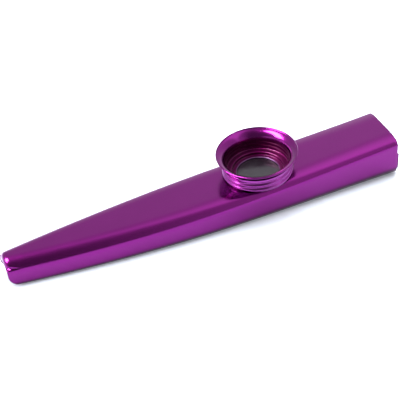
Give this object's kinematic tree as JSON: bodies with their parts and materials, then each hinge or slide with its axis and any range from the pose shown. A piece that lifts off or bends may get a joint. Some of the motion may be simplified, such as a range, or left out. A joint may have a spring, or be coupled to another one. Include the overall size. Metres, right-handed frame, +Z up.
{
  "type": "kazoo",
  "caption": "Metal kazoo: a tapered pressed body open at both ends, and a flared turret cap that screws into a threaded socket over a membrane.",
  "frame": {"origin": "the middle of the body's length, on the surface that the kazoo lies on", "axes": "+X along the body towards the wide end, +Z up through the turret"},
  "size_m": [0.12, 0.0238, 0.018],
  "materials": {
    "shell_metal": "gloss, anodised violet",
    "tray_metal": "gloss, anodised violet",
    "cap_metal": "gloss, anodised violet",
    "frame_plastic": "matte",
    "film_plastic": "semi-gloss, translucent"
  },
  "bodies": {
    "body": {"top_shell": "shell_metal", "bottom_tray": "tray_metal", "turret_socket": "shell_metal"},
    "membrane": {"membrane_frame": "frame_plastic", "membrane_film": "film_plastic"},
    "cap": {"turret_cap": "cap_metal"}
  },
  "joints": [
    {"name": "cap_turn", "type": "hinge", "parent": "body", "child": "membrane", "pos_m": [0.0177, 0, 0.01052], "axis": [-0.0481, 0, 0.9988], "range_deg": [0, 900]},
    {"name": "cap_lift", "type": "slide", "parent": "membrane", "child": "cap", "axis": [-0.0481, 0, 0.9988], "range_m": [0, 0.00388]}
  ],
  "couplings": [
    {"joint": "cap_lift", "follows": "cap_turn", "m_per_rad": 0.00024669}
  ]
}
